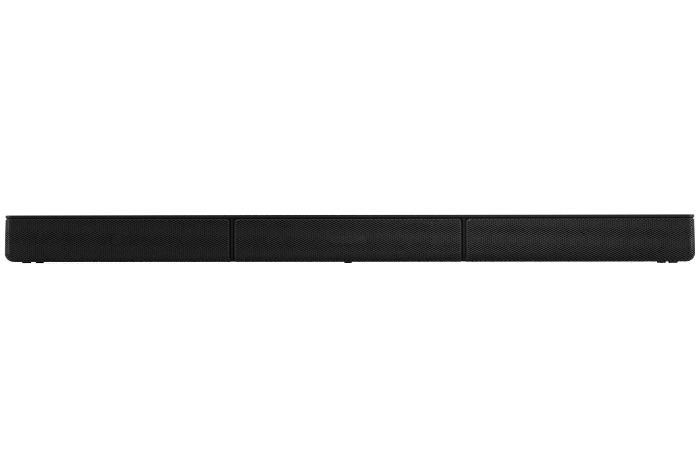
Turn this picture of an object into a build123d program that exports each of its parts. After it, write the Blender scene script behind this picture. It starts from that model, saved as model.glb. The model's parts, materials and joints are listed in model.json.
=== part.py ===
from build123d import *
import math
import os

# A three-section soundbar, about one metre long, with its drivers, buttons, boards and sockets.
#
# Row frame, in millimetres: +X to the listener's right, +Y to the back, +Z up. The origin is under
# the middle of the bar, on the surface that it stands on.

os.makedirs("parts", exist_ok=True)

# ---- Driving dimensions -------------------------------------------------------------------------
bar_length = 1000.0  # over the two grille ends, at their widest
bar_depth = 100.0
foot_height = 1.7  # how far the feet lift the lowest part of the grille
grille_height = 62.0
plate_gap = 1.3  # shadow gap between the grille and the top cover
plate_thickness = 4.5
plan_radius = 14.0  # front corners, seen from above
roll_radius = 13.0  # roll from the front and the ends into the bottom
draft = 0.9  # lean of the front and the ends, in degrees
sheet = 0.8  # grille steel
flange = 14.5  # how far the grille runs in under the bottom
center_length = 325.9  # the middle grille section
divider_width = 7.7  # from one grille section to the next
divider_slot = 2.5  # dark slot on each side of a divider rib
corner_radius = 4.5  # grille corners beside a divider
wall = 2.5  # moulded enclosure wall
clearance = 0.8  # between the grille and the enclosure

# ---- Heights, depths and places worked out from them --------------------------------------------
grille_bottom = foot_height
grille_top = grille_bottom + grille_height
plate_bottom = grille_top + plate_gap
plate_top = plate_bottom + plate_thickness
half_length = bar_length / 2
front = -bar_depth / 2
back = bar_depth / 2
tub_inset = sheet + clearance
tub_bottom = grille_bottom + tub_inset
ceiling = plate_bottom - wall
band_front = back - 7.0  # the rear band, which stands flush with the grille ends
grille_back = band_front - 0.4
baffle_front = front + 8.0
baffle_thickness = 3.0
gasket_thickness = 1.0
baffle_back = baffle_front + baffle_thickness
tub_front = baffle_back + gasket_thickness
divider_x = (center_length + divider_width) / 2
outer_section_x = (divider_x + divider_width / 2 + half_length) / 2
driver_z = (tub_bottom + plate_bottom) / 2

# ---- Drivers ------------------------------------------------------------------------------------
woofer_offset = 98.0  # from the middle of a section
woofer_flange = 55.0
woofer_screw_spacing = 45.6
woofer_hole_radius = 25.4  # in the baffle
woofer_flange_thickness = 1.5
tweeter_face = 38.0
tweeter_screw_spacing = 29.0
tweeter_hole_radius = 14.2
tweeter_face_thickness = 2.0
tweeter_depth = 13.0  # behind the face
section_x = (-outer_section_x, 0, outer_section_x)
woofer_x = [x + offset for x in section_x for offset in (-woofer_offset, woofer_offset)]
tweeter_x = (-outer_section_x, outer_section_x)

# ---- Screws -------------------------------------------------------------------------------------
head_radius, head_height = 2.6, 1.6
shank_radius = 1.2
pilot_radius = 1.25
clear_radius = 1.6
drive_radius, drive_depth = 1.2, 0.8  # hexagonal drive in the head
driver_screw_length = 4.4
baffle_screw_length = 12.0
board_screw_length = 8.0
cover_screw_length = 4.8
control_screw_length = 5.6
baffle_screw_x = (-484.0, -287.0, -150.0, 150.0, 287.0, 484.0)
screw_inset = 5.4  # from the top and bottom of the baffle
baffle_screw_z = (tub_bottom + screw_inset, plate_bottom - screw_inset)
cover_screw_x = (-470.0, -300.0, -130.0, 130.0, 300.0, 470.0)
cover_screw_y = (-28.0, 34.0)
boss_radius = 3.4
boss_length = 16.0

# ---- Electronics and sockets --------------------------------------------------------------------
board_thickness = 1.6
board_front = 20.0
board_back = board_front + board_thickness
board_low, board_high = 8.0, 56.0
main_board_x = (-105.0, 30.0)
power_board_x = (62.0, 160.0)
board_post_inset = 5.0
post_radius = 3.2
recess_floor = 32.0  # face of the recess floor that the sockets come through
socket_front = recess_floor + 1.0
socket_z = 30.0
io_recess = (-95.0, 15.0, 16.0, 44.0)  # x from, x to, z from, z to
power_recess = (93.0, 137.0, 16.0, 44.0)
hdmi_x = (-79.0, -56.0)
optical_x = -32.0
usb_x = -8.0
inlet_x = 115.0
hdmi_body = (15.4, 6.0)  # width and height of each socket
usb_body = (13.2, 5.8)
optical_body = (13.6, 13.6)
inlet_body = (18.4, 12.4)
socket_fit = 0.2  # left free round a socket in the recess floor
sockets = (
    (hdmi_x[0], hdmi_body),
    (hdmi_x[1], hdmi_body),
    (optical_x, optical_body),
    (usb_x, usb_body),
    (inlet_x, inlet_body),
)
vent_length, vent_width, vent_pitch, vent_z = 7.0, 2.0, 7.0, 53.0
vents = ((40.0, 15), (-115.0, 6))  # middle of each row, as seen from the back, and its slots
insert_x = 300.0
insert_radius, insert_bore, insert_length = 3.2, 2.0, 10.0

post_places = [
    (x, z)
    for low_x, high_x in (main_board_x, power_board_x)
    for x in (low_x + board_post_inset, high_x - board_post_inset)
    for z in (board_low + board_post_inset, board_high - board_post_inset)
]
trunk_y, trunk_z = 0.0, 8.2  # where the speaker wires run along the floor
trunk_radius, branch_radius = 1.5, 0.8
wire_hole_radius = 2.5  # in the two partitions

# ---- Buttons ------------------------------------------------------------------------------------
button_names = ("power", "source", "volume_down", "volume_up", "pairing")
button_pitch = 24.0
key_length, key_width = 14.0, 8.5
key_gap = 0.25
key_proud = 0.3
key_edge = 0.25  # rounding of its top edge
lip = 1.2
pocket_length, pocket_width = 132.0, 30.0  # opening in the enclosure under the keys
control_board_top = 57.5
control_board_length, control_board_width = 154.0, 26.0
control_post_x = 72.0

# ---- Feet ---------------------------------------------------------------------------------------
foot_x, front_foot_y, rear_foot_y = 470.6, -28.8, 35.2
foot_radius = 6.5
center_foot_length, center_foot_width, center_foot_y = 10.6, 22.0, -22.0


def save(part, name):
    """Labels a finished piece and writes it as its own node."""
    part.label = name
    export_step(part, f"parts/{name}.step")


def bar_form(inset, top):
    """The bar's outer form, set in all round by inset, up to height top. It runs on behind the bar."""
    tail = 20.0
    spread = roll_radius * math.tan(math.radians(draft))  # what the roll takes off again
    width = bar_length - 2 * inset + 2 * spread
    with BuildPart() as form:
        with BuildSketch(Plane.XY.offset(grille_bottom + inset)) as outline:
            with Locations((0, (front + inset - spread + back + tail) / 2)):
                Rectangle(width, bar_depth - inset + spread + tail)
            fillet(outline.vertices().group_by(Axis.Y)[0], plan_radius - inset)
        extrude(amount=top - grille_bottom - inset, taper=draft)
        underside = form.faces().sort_by(Axis.Z)[0].edges()
        fillet(underside.sort_by(Axis.Y)[:-1], roll_radius - inset)
    return form.part


def box_between(x_from, x_to, y_from, y_to, z_from, z_to, mode=Mode.ADD):
    """A box given by its six faces, joined to or cut from the part being built."""
    with Locations(((x_from + x_to) / 2, (y_from + y_to) / 2, (z_from + z_to) / 2)):
        Box(x_to - x_from, y_to - y_from, z_to - z_from, mode=mode)


def keep_depths(y_from, y_to):
    """Keeps only what lies between two depths of the part being built."""
    reach = bar_length
    box_between(-reach, reach, y_from, y_to, -reach, reach, mode=Mode.INTERSECT)


def socket_block(x, size):
    """A socket's body, from its board out through the recess floor."""
    width, height = size
    box_between(
        x - width / 2,
        x + width / 2,
        board_back,
        socket_front,
        socket_z - height / 2,
        socket_z + height / 2,
    )


def facing_front(x, y, z):
    """A plane whose normal points out of the front of the bar."""
    return Plane(origin=(x, y, z), x_dir=(1, 0, 0), z_dir=(0, -1, 0))


def facing_back(x, y, z):
    """A plane whose normal points out of the back of the bar."""
    return Plane(origin=(x, y, z), x_dir=(-1, 0, 0), z_dir=(0, 1, 0))


def section_window(x_from, x_to, rounded, grown=0.0):
    """Front view of one grille section, with round top corners on the sides that meet a divider."""
    with BuildSketch(Plane.XZ) as window:
        with Locations(((x_from + x_to) / 2, (grille_top + grown) / 2)):
            Rectangle(x_to - x_from + 2 * grown, grille_top + grown)
        top_corners = window.vertices().group_by(Axis.Y)[-1].sort_by(Axis.X)
        fillet([top_corners[i] for i in rounded], corner_radius + grown)
    return window.sketch


# ---- Grilles: one formed sheet each, round the front, the ends and the bottom edge ---------------
windows = {
    "left": (-half_length - 5, -divider_x - divider_width / 2, (1,)),
    "center": (-divider_x + divider_width / 2, divider_x - divider_width / 2, (0, 1)),
    "right": (divider_x + divider_width / 2, half_length + 5, (0,)),
}
grille_outside = bar_form(0, grille_top)
grille_inside = bar_form(sheet, grille_top + 1)
with BuildPart() as grille_skin:
    add(grille_outside)
    add(grille_inside, mode=Mode.SUBTRACT)
    keep_depths(front - 1, grille_back)
    box_between(
        flange - half_length,
        half_length - flange,
        front + flange,
        back,
        0,
        grille_bottom + 2 * sheet,
        mode=Mode.SUBTRACT,
    )
for side, (x_from, x_to, rounded) in windows.items():
    window = section_window(x_from, x_to, rounded)
    with BuildPart() as grille:
        add(grille_skin.part)
        extrude(window, amount=bar_depth, both=True, mode=Mode.INTERSECT)
    save(grille.part, f"grille_{side}")

# ---- Divider ribs: narrow ribs between the sections, flared under the top cover ------------------
rib_inset = 0.5
rib_top = grille_top + plate_gap / 2
rib_form = bar_form(rib_inset, rib_top)
for side, rib_x in (("left", -divider_x), ("right", divider_x)):
    outer_edge, inner_edge = rib_x - divider_width / 2, rib_x + divider_width / 2
    neighbours = (
        section_window(outer_edge - 40, outer_edge, (1,), divider_slot),
        section_window(inner_edge, inner_edge + 40, (0,), divider_slot),
    )
    with BuildPart() as rib:
        add(rib_form)
        box_between(outer_edge, inner_edge, front - 1, baffle_front, 0, plate_top, mode=Mode.INTERSECT)
        for window in neighbours:
            extrude(window, amount=bar_depth, both=True, mode=Mode.SUBTRACT)
    save(rib.part, f"divider_rib_{side}")

# ---- Top cover: a flat plate, undercut all round, with the key openings ---------------------------
plate_overhang = 0.6  # how far it stays inside the bar's length and depth
plate_corner_radius = 2.0  # its back corners, seen from above
plate_top_radius = 0.25
plate_undercut = 1.2  # bevel under its edge, which makes the shadow gap a V
key_x = [(i - (len(button_names) - 1) / 2) * button_pitch for i in range(len(button_names))]
with BuildPart() as top_cover:
    with BuildSketch(Plane.XY.offset(plate_bottom)) as plate_outline:
        with Locations((0, plate_overhang / 2)):
            Rectangle(bar_length - 2 * plate_overhang, bar_depth - plate_overhang)
        fillet(plate_outline.vertices().group_by(Axis.Y)[0], plan_radius)
        fillet(plate_outline.vertices().group_by(Axis.Y)[-1], plate_corner_radius)
    extrude(amount=plate_thickness)
    fillet(top_cover.faces().sort_by(Axis.Z)[-1].edges(), plate_top_radius)
    chamfer(top_cover.faces().sort_by(Axis.Z)[0].edges(), plate_undercut)
    with BuildSketch(Plane.XY.offset(plate_bottom)):
        with Locations([(x, 0) for x in key_x]):
            SlotOverall(key_length + 2 * key_gap, key_width + 2 * key_gap)
    extrude(amount=plate_thickness, mode=Mode.SUBTRACT)
    with BuildSketch(Plane.XY.offset(plate_bottom)):
        with Locations([(x, y) for x in cover_screw_x for y in cover_screw_y]):
            Circle(pilot_radius)
    extrude(amount=cover_screw_length - wall + 0.2, mode=Mode.SUBTRACT)
save(top_cover.part, "top_cover")

# ---- Buttons: a key through the cover, a retaining lip and a stem over its switch ----------------
key_bottom = plate_bottom - 0.05
lip_thickness = 1.3
stem_radius = 2.0
stem_bottom = control_board_top + 4.5
for name, x in zip(button_names, key_x):
    with BuildPart() as button:
        with BuildSketch(Plane.XY.offset(key_bottom)):
            with Locations((x, 0)):
                SlotOverall(key_length, key_width)
        extrude(amount=plate_top + key_proud - key_bottom)
        fillet(button.faces().sort_by(Axis.Z)[-1].edges(), key_edge)
        with BuildSketch(Plane.XY.offset(key_bottom)):
            with Locations((x, 0)):
                SlotOverall(key_length + 2 * lip, key_width + 2 * lip)
        extrude(amount=-lip_thickness)
        with BuildSketch(Plane.XY.offset(stem_bottom)):
            with Locations((x, 0)):
                Circle(stem_radius)
        extrude(amount=key_bottom - stem_bottom)
    save(button.part, f"{name}_button")

# ---- Front baffle: carries the drivers, and closes the enclosure ---------------------------------
inner_form = bar_form(tub_inset, plate_bottom)
tweeter_cup_radius = tweeter_hole_radius - 0.2
with BuildPart() as front_baffle:
    add(inner_form)
    keep_depths(baffle_front, baffle_back)
    with BuildSketch(facing_front(0, baffle_back, driver_z)):
        with Locations([(x, 0) for x in woofer_x]):
            Circle(woofer_hole_radius)
            with GridLocations(woofer_screw_spacing, woofer_screw_spacing, 2, 2):
                Circle(pilot_radius)
        with Locations([(x, 0) for x in tweeter_x]):
            Circle(tweeter_hole_radius)
            with GridLocations(tweeter_screw_spacing, tweeter_screw_spacing, 2, 2):
                Circle(pilot_radius)
        with Locations([(x, z - driver_z) for x in baffle_screw_x for z in baffle_screw_z]):
            Circle(clear_radius)
    extrude(amount=baffle_thickness, mode=Mode.SUBTRACT)
save(front_baffle.part, "front_baffle")

# ---- Enclosure: one moulded tub with the back wall, the partitions and the two recesses ----------
hollow = bar_form(tub_inset + wall, ceiling)
outer_form = bar_form(0, plate_bottom)
with BuildPart() as cavity:
    add(hollow)
    keep_depths(tub_front - 1, back - wall)
with BuildPart() as rear_band:
    add(outer_form)
    keep_depths(band_front, back)
    rim = rear_band.faces().sort_by(Axis.Y)[-1].edges().sort_by(Axis.Z)[:-1]
    fillet(rim, plate_corner_radius)
with BuildPart() as enclosure:
    add(inner_form)
    keep_depths(tub_front, band_front)
    add(rear_band.part)
    add(cavity.part, mode=Mode.SUBTRACT)
    for x in (-divider_x, divider_x):
        box_between(x - wall / 2, x + wall / 2, tub_front, back - wall, tub_bottom, ceiling + wall)
    for x_from, x_to, z_from, z_to in (io_recess, power_recess):
        box_between(
            x_from - wall, x_to + wall, recess_floor - wall, back - wall, z_from - wall, z_to + wall
        )
    # Bosses for the baffle screws, the board posts, the wall-bracket inserts and the control board.
    web = screw_inset - wall / 2  # joins each boss to the floor or the ceiling
    web_z = (baffle_screw_z[0] - web / 2, baffle_screw_z[1] + web / 2)
    with BuildSketch(facing_back(0, tub_front, 0)):
        with Locations([(-x, z) for x in baffle_screw_x for z in baffle_screw_z]):
            Circle(boss_radius)
        with Locations([(-x, z) for x in baffle_screw_x for z in web_z]):
            Rectangle(2 * boss_radius, web)
    extrude(amount=boss_length)
    with BuildSketch(facing_back(0, board_back, 0)):
        with Locations([(-x, z) for x, z in post_places]):
            Circle(post_radius)
    extrude(amount=back - wall - board_back)
    with BuildSketch(facing_back(0, back - insert_length - wall, 0)):
        with Locations([(x, driver_z) for x in (-insert_x, insert_x)]):
            Circle(insert_radius + wall)
    extrude(amount=insert_length)
    with BuildSketch(Plane.XY.offset(control_board_top)):
        with Locations([(x, 0) for x in (-control_post_x, control_post_x)]):
            Circle(post_radius)
    extrude(amount=ceiling - control_board_top)
    # Everything that is cut out of them.
    for x_from, x_to, z_from, z_to in (io_recess, power_recess):
        box_between(x_from, x_to, recess_floor, back + 1, z_from, z_to, mode=Mode.SUBTRACT)
    with BuildSketch(facing_back(0, tub_front, 0)):
        with Locations([(-x, z) for x in baffle_screw_x for z in baffle_screw_z]):
            Circle(pilot_radius)
    extrude(amount=boss_length - wall, mode=Mode.SUBTRACT)
    with BuildSketch(facing_back(0, board_back, 0)):
        with Locations([(-x, z) for x, z in post_places]):
            Circle(pilot_radius)
    extrude(amount=board_screw_length, mode=Mode.SUBTRACT)
    with BuildSketch(facing_back(0, back - insert_length, 0)):
        with Locations([(x, driver_z) for x in (-insert_x, insert_x)]):
            Circle(insert_radius)
    extrude(amount=insert_length, mode=Mode.SUBTRACT)
    with BuildSketch(Plane.XY.offset(control_board_top)):
        with Locations([(x, 0) for x in (-control_post_x, control_post_x)]):
            Circle(pilot_radius)
    extrude(amount=ceiling - control_board_top, mode=Mode.SUBTRACT)
    box_between(
        -pocket_length / 2,
        pocket_length / 2,
        -pocket_width / 2,
        pocket_width / 2,
        ceiling - 0.5,
        plate_bottom,
        mode=Mode.SUBTRACT,
    )
    with BuildSketch(Plane.XY.offset(ceiling)):
        with Locations([(x, y) for x in cover_screw_x for y in cover_screw_y]):
            Circle(clear_radius)
    extrude(amount=wall, mode=Mode.SUBTRACT)
    # Socket openings in the recess floors, and the cooling slots above them.
    with BuildSketch(facing_back(0, recess_floor - wall, socket_z)):
        for x, (width, height) in sockets:
            with Locations((-x, 0)):
                Rectangle(width + 2 * socket_fit, height + 2 * socket_fit)
    extrude(amount=wall, mode=Mode.SUBTRACT)
    for x in (-divider_x, divider_x):
        with Locations(Plane(origin=(x - wall, trunk_y, trunk_z), x_dir=(0, 1, 0), z_dir=(-1, 0, 0))):
            Hole(wire_hole_radius, 2 * wall)
    with BuildSketch(facing_back(0, back - wall, vent_z)):
        for middle, slots in vents:
            with Locations((middle, 0)):
                with GridLocations(vent_pitch, vent_pitch, slots, 1):
                    SlotOverall(vent_length, vent_width, rotation=90)
    extrude(amount=wall, mode=Mode.SUBTRACT)
save(enclosure.part, "enclosure")

# ---- Gasket between the baffle and the enclosure -------------------------------------------------
with BuildPart() as baffle_gasket:
    add(inner_form)
    keep_depths(baffle_back, tub_front)
    add(hollow, mode=Mode.SUBTRACT)
    for x in (-divider_x, divider_x):
        box_between(x - wall / 2, x + wall / 2, baffle_back, tub_front, tub_bottom + wall / 2, ceiling + 1)
save(baffle_gasket.part, "baffle_gasket")

# ---- Woofers ------------------------------------------------------------------------------------
# A driver's profile is drawn as (radius, depth behind the baffle's face), then turned about its axis.


def driver_section(x):
    """The level plane through a driver's axis, at the baffle's face."""
    return Plane(origin=(x, baffle_front, driver_z), x_dir=(1, 0, 0), z_dir=(0, 0, 1))


def driver_axis(x):
    """The axis that a driver at x is turned about."""
    return Axis((x, baffle_front, driver_z), (0, 1, 0))


def cap_outline(apex, rim_radius, rise, thickness):
    """Half the section of a round cap that bulges forwards: its apex is on the driver's axis."""
    sphere = (rim_radius**2 + rise**2) / (2 * rise)
    sweep_angle = math.degrees(math.asin(rim_radius / sphere))
    outer = JernArc((0, apex), (1, 0), sphere, sweep_angle)
    inner = JernArc((0, apex + thickness), (1, 0), sphere - thickness, sweep_angle)
    Line(outer @ 1, inner @ 1)
    Line(outer @ 0, inner @ 0)


frame_opening = 24.2  # radius of the frame's mouth
cage_depth = 18.5
terminal_offset, terminal_z = 12.0, driver_z - 13.5
magnet_radius = 20.0
former_radius, former_wall = 6.9, 0.5
coil_gap = 0.3  # between the former and the steel on each side of it
gap_radius, pole_radius = former_radius + coil_gap, former_radius - former_wall - coil_gap
steel_radius = 18.0
pole_front = cage_depth + 1.0
magnet_front, magnet_back = cage_depth + 3.0, cage_depth + 12.0
motor_back = cage_depth + 15.0
cone_radius = 20.2
for number, x in enumerate(woofer_x, start=1):
    with BuildPart() as frame:
        with BuildSketch(facing_front(x, baffle_front, driver_z)):
            RectangleRounded(woofer_flange, woofer_flange, 6)
            Circle(frame_opening, mode=Mode.SUBTRACT)
            with GridLocations(woofer_screw_spacing, woofer_screw_spacing, 2, 2):
                Circle(clear_radius, mode=Mode.SUBTRACT)
        extrude(amount=woofer_flange_thickness)
        with BuildSketch(driver_section(x)):
            with BuildLine():
                Polyline(
                    (frame_opening, -0.2),
                    (25.2, -0.2),
                    (25.2, 0.5),
                    (16.5, 16.0),
                    (16.5, cage_depth),
                    (8.0, cage_depth),
                    (8.0, 17.0),
                    (14.2, 17.0),
                    (frame_opening, 0.3),
                    close=True,
                )
            make_face()
        revolve(axis=driver_axis(x))
        # Windows between the frame's six arms.
        with BuildSketch(facing_front(x, baffle_front + 14.0, driver_z)):
            with PolarLocations(21.0, 6):
                Rectangle(14.0, 11.0)
        extrude(amount=10.5, mode=Mode.SUBTRACT)
        plate_front = baffle_front + cage_depth - 1.5
        tab_x = x + terminal_offset
        box_between(tab_x - 2, tab_x + 2, plate_front, plate_front + 1.5, terminal_z, terminal_z + 4)
    save(frame.part, f"woofer_{number}_frame")
    with BuildPart() as motor:
        with BuildSketch(driver_section(x)):
            with BuildLine():
                Polyline(
                    (gap_radius, cage_depth),
                    (steel_radius, cage_depth),
                    (steel_radius, magnet_front),
                    (magnet_radius, magnet_front),
                    (magnet_radius, magnet_back),
                    (steel_radius, magnet_back),
                    (steel_radius, motor_back),
                    (0.0, motor_back),
                    (0.0, pole_front),
                    (pole_radius, pole_front),
                    (pole_radius, magnet_back),
                    (10.0, magnet_back),
                    (10.0, magnet_front),
                    (gap_radius, magnet_front),
                    close=True,
                )
            make_face()
        revolve(axis=driver_axis(x))
    save(motor.part, f"woofer_{number}_motor")
    with BuildPart() as cone:
        with BuildSketch(driver_section(x)):
            with BuildLine():
                Polyline(
                    (cone_radius, -1.2),
                    (cone_radius, -0.4),
                    (former_radius, 8.9),
                    (former_radius, 26.0),
                    (former_radius - former_wall, 26.0),
                    (former_radius - former_wall, 8.3),
                    (cone_radius - 0.6, -1.2),
                    close=True,
                )
            make_face()
        revolve(axis=driver_axis(x))
        with BuildSketch(driver_section(x)):
            with BuildLine():
                cap_outline(3.6, 8.8, 3.6, 0.6)
            make_face()
        revolve(axis=driver_axis(x))
    save(cone.part, f"woofer_{number}_cone")

# The soft suspensions: a half-roll surround on each frame, and a flat spider behind each cone.
with BuildPart() as suspensions:
    for x in woofer_x:
        with BuildSketch(driver_section(x)):
            with BuildLine():
                ThreePointArc((24.5, -2.1), (22.5, -4.0), (20.5, -1.9))
                Polyline((20.5, -1.9), (20.5, -1.3), (21.0, -1.3), (21.0, -1.8))
                ThreePointArc((21.0, -1.8), (22.5, -3.4), (24.0, -1.7))
                Polyline((24.0, -1.7), (24.0, -1.5), (26.8, -1.5), (26.8, -2.1), (24.5, -2.1))
            make_face()
            with Locations((12.0, 12.6)):
                Rectangle(9.0, 0.4)
        revolve(axis=driver_axis(x))
save(suspensions.part, "woofer_suspensions")

# ---- Tweeters ------------------------------------------------------------------------------------
for side, x in zip(("left", "right"), tweeter_x):
    with BuildPart() as tweeter_body:
        with BuildSketch(facing_front(x, baffle_front, driver_z)):
            RectangleRounded(tweeter_face, tweeter_face, 5)
            Circle(10.2, mode=Mode.SUBTRACT)
            with GridLocations(tweeter_screw_spacing, tweeter_screw_spacing, 2, 2):
                Circle(clear_radius, mode=Mode.SUBTRACT)
        extrude(amount=tweeter_face_thickness)
        with BuildSketch(driver_section(x)):
            with BuildLine():
                Polyline(
                    (10.2, -1.0),
                    (tweeter_cup_radius, -1.0),
                    (tweeter_cup_radius, tweeter_depth),
                    (0.0, tweeter_depth),
                    (0.0, 4.5),
                    (10.2, 4.5),
                    close=True,
                )
            make_face()
        revolve(axis=driver_axis(x))
    save(tweeter_body.part, f"tweeter_{side}_body")
    with BuildPart() as dome:
        with BuildSketch(driver_section(x)):
            with BuildLine():
                cap_outline(-2.0, 9.6, 3.4, 0.5)
            make_face()
        revolve(axis=driver_axis(x))
        with BuildSketch(driver_section(x)):
            with Locations((8.6, 2.1)):
                Rectangle(0.5, 2.6)
        revolve(axis=driver_axis(x))
    save(dome.part, f"tweeter_{side}_dome")


# ---- Fasteners ----------------------------------------------------------------------------------
def pan_head_screw(length):
    """One screw, with its head on the XY plane and its shank below it."""
    with BuildPart() as screw:
        with BuildSketch(Plane.XY):
            Circle(head_radius)
        extrude(amount=head_height)
        chamfer(screw.faces().sort_by(Axis.Z)[-1].edges(), 0.5)
        with BuildSketch(Plane.XY.offset(head_height)):
            RegularPolygon(drive_radius, 6)
        extrude(amount=-drive_depth, mode=Mode.SUBTRACT)
        with BuildSketch(Plane.XY):
            Circle(shank_radius)
        extrude(amount=-length)
    return screw.part


def facing_down(x, y, z):
    """A plane whose normal points down."""
    return Plane(origin=(x, y, z), x_dir=(1, 0, 0), z_dir=(0, 0, -1))


half_woofer, half_tweeter = woofer_screw_spacing / 2, tweeter_screw_spacing / 2
driver_screw_planes = [
    facing_front(x + dx, baffle_front - rise, driver_z + dz)
    for places, half, rise in (
        (woofer_x, half_woofer, woofer_flange_thickness),
        (tweeter_x, half_tweeter, tweeter_face_thickness),
    )
    for x in places
    for dx in (-half, half)
    for dz in (-half, half)
]
board_underside = control_board_top - board_thickness
screw_groups = (
    ("driver_screws", driver_screw_length, driver_screw_planes),
    (
        "baffle_screws",
        baffle_screw_length,
        [facing_front(x, baffle_front, z) for x in baffle_screw_x for z in baffle_screw_z],
    ),
    ("board_screws", board_screw_length, [facing_front(x, board_front, z) for x, z in post_places]),
    (
        "control_board_screws",
        control_screw_length,
        [facing_down(x, 0, board_underside) for x in (-control_post_x, control_post_x)],
    ),
    (
        "cover_screws",
        cover_screw_length,
        [facing_down(x, y, ceiling) for x in cover_screw_x for y in cover_screw_y],
    ),
)
for name, length, planes in screw_groups:
    one_screw = pan_head_screw(length)
    with BuildPart() as group:
        with Locations(*planes):
            add(one_screw)
    save(group.part, name)

with BuildPart() as inserts:
    with BuildSketch(facing_back(0, back - insert_length, 0)):
        with Locations([(x, driver_z) for x in (-insert_x, insert_x)]):
            Circle(insert_radius)
            Circle(insert_bore, mode=Mode.SUBTRACT)
    extrude(amount=insert_length)
save(inserts.part, "wall_bracket_inserts")

# ---- Boards --------------------------------------------------------------------------------------
switch_size, switch_height, plunger_radius, plunger_height = 6.0, 3.0, 1.7, 0.9
with BuildPart() as control_board:
    box_between(
        -control_board_length / 2,
        control_board_length / 2,
        -control_board_width / 2,
        control_board_width / 2,
        control_board_top - board_thickness,
        control_board_top,
    )
    with BuildSketch(Plane.XY.offset(control_board_top)):
        with Locations([(x, 0) for x in (-control_post_x, control_post_x)]):
            Circle(clear_radius)
    extrude(amount=-board_thickness, mode=Mode.SUBTRACT)
    # Tact switches, each with its plunger just under a key's stem.
    with BuildSketch(Plane.XY.offset(control_board_top)):
        with Locations([(x, 0) for x in key_x]):
            RectangleRounded(switch_size, switch_size, 0.5)
    extrude(amount=switch_height)
    with BuildSketch(Plane.XY.offset(control_board_top + switch_height)):
        with Locations([(x, 0) for x in key_x]):
            Circle(plunger_radius)
    extrude(amount=plunger_height)
save(control_board.part, "control_board")


def post_planes(x_span):
    """The planes of the post holes in an upright board, on its front face."""
    return [facing_front(x, board_front, z) for x, z in post_places if x_span[0] < x < x_span[1]]


chip_front = board_front - 1.2
amplifier_x = (-62.0, -38.0)
with BuildPart() as main_board:
    box_between(*main_board_x, board_front, board_back, board_low, board_high)
    with Locations(*post_planes(main_board_x)):
        Hole(clear_radius, board_thickness)
    for x in amplifier_x:
        box_between(x - 5, x + 5, chip_front, board_front, 27, 37)
    box_between(-8, 8, board_front - 1.5, board_front, 24, 40)  # processor
    box_between(-96, -82, board_front - 6, board_front, 20, 40)  # speaker connector
    with BuildSketch(facing_front(0, board_front, 0)):
        with Locations([(x, z) for x in (-74, -26) for z in (14, 49)]):
            Circle(4.0)
    extrude(amount=11.0)  # filter capacitors
save(main_board.part, "main_board")

sink_from, sink_to, sink_low, sink_high = -70.0, -30.0, 22.0, 42.0
sink_base, sink_depth = 2.5, 14.0
fins, fin_thickness = 9, 1.4
fin_pitch = (sink_to - sink_from - fin_thickness) / (fins - 1)
with BuildPart() as heatsink:
    base_front = chip_front - sink_base
    box_between(sink_from, sink_to, base_front, chip_front, sink_low, sink_high)
    for i in range(fins):
        fin_x = sink_from + i * fin_pitch
        box_between(
            fin_x, fin_x + fin_thickness, chip_front - sink_depth, base_front, sink_low, sink_high
        )
save(heatsink.part, "heatsink")

with BuildPart() as power_board:
    box_between(*power_board_x, board_front, board_back, board_low, board_high)
    with Locations(*post_planes(power_board_x)):
        Hole(clear_radius, board_thickness)
    box_between(80, 106, board_front - 20, board_front, 22, 46)  # transformer
    with BuildSketch(facing_front(0, board_front, 0)):
        with Locations((122, 40), (142, 40)):
            Circle(7.5)
    extrude(amount=22.0)  # reservoir capacitors
    box_between(118, 146, board_front - 10, board_front, 14, 26)  # mains filter
save(power_board.part, "power_board")

indicator_thickness, indicator_half_length, indicator_half_height = 1.0, 26.0, 5.0
with BuildPart() as indicator_board:
    box_between(
        -indicator_half_length,
        indicator_half_length,
        baffle_front - indicator_thickness,
        baffle_front,
        driver_z - indicator_half_height,
        driver_z + indicator_half_height,
    )
    with BuildSketch(facing_front(0, baffle_front - indicator_thickness, driver_z)):
        with Locations((18, 0)):
            Circle(2.6)  # remote-control receiver
        with GridLocations(7.0, 1.0, 5, 1):
            Rectangle(3.0, 1.6)  # status lights
    extrude(amount=1.8)
save(indicator_board.part, "indicator_board")

ribbon_thickness, ribbon_width, ribbon_bend = 0.4, 12.0, 0.9
ribbon_y = board_front - 0.25  # down the front of the main board
ribbon_z = board_underside - 0.25  # along the underside of the control board
ribbon_route = ((9.0, ribbon_z), (14.0, ribbon_z), (17.5, 51.0), (ribbon_y, 51.0), (ribbon_y, 46.0))
with BuildPart() as ribbon_cable:
    with BuildSketch(Plane.YZ.offset(-ribbon_width / 2)):
        with BuildLine():
            FilletPolyline(*ribbon_route, radius=ribbon_bend)
        trace(line_width=ribbon_thickness)
    extrude(amount=ribbon_width)
save(ribbon_cable.part, "ribbon_cable")

# ---- Sockets, standing on the boards and coming through the recess floors ------------------------
socket_depth = 9.0
tongue_width, hdmi_tongue, usb_tongue = 11.0, 1.0, 1.8  # the contact tongues in the two kinds
for number, x in enumerate(hdmi_x, start=1):
    with BuildPart() as hdmi:
        socket_block(x, hdmi_body)
        with BuildSketch(facing_back(x, socket_front, socket_z)):
            with BuildLine():
                Polyline(
                    (-7.0, 2.3),
                    (7.0, 2.3),
                    (7.0, -0.6),
                    (5.2, -2.3),
                    (-5.2, -2.3),
                    (-7.0, -0.6),
                    close=True,
                )
            make_face()
            Rectangle(tongue_width, hdmi_tongue, mode=Mode.SUBTRACT)
        extrude(amount=-socket_depth, mode=Mode.SUBTRACT)
    save(hdmi.part, f"hdmi_socket_{number}")

with BuildPart() as usb:
    socket_block(usb_x, usb_body)
    with BuildSketch(facing_back(usb_x, socket_front, socket_z)):
        Rectangle(12.4, 4.9)
        with Locations((0, 0.8)):
            Rectangle(tongue_width, usb_tongue, mode=Mode.SUBTRACT)
    extrude(amount=-socket_depth, mode=Mode.SUBTRACT)
save(usb.part, "usb_socket")

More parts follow.
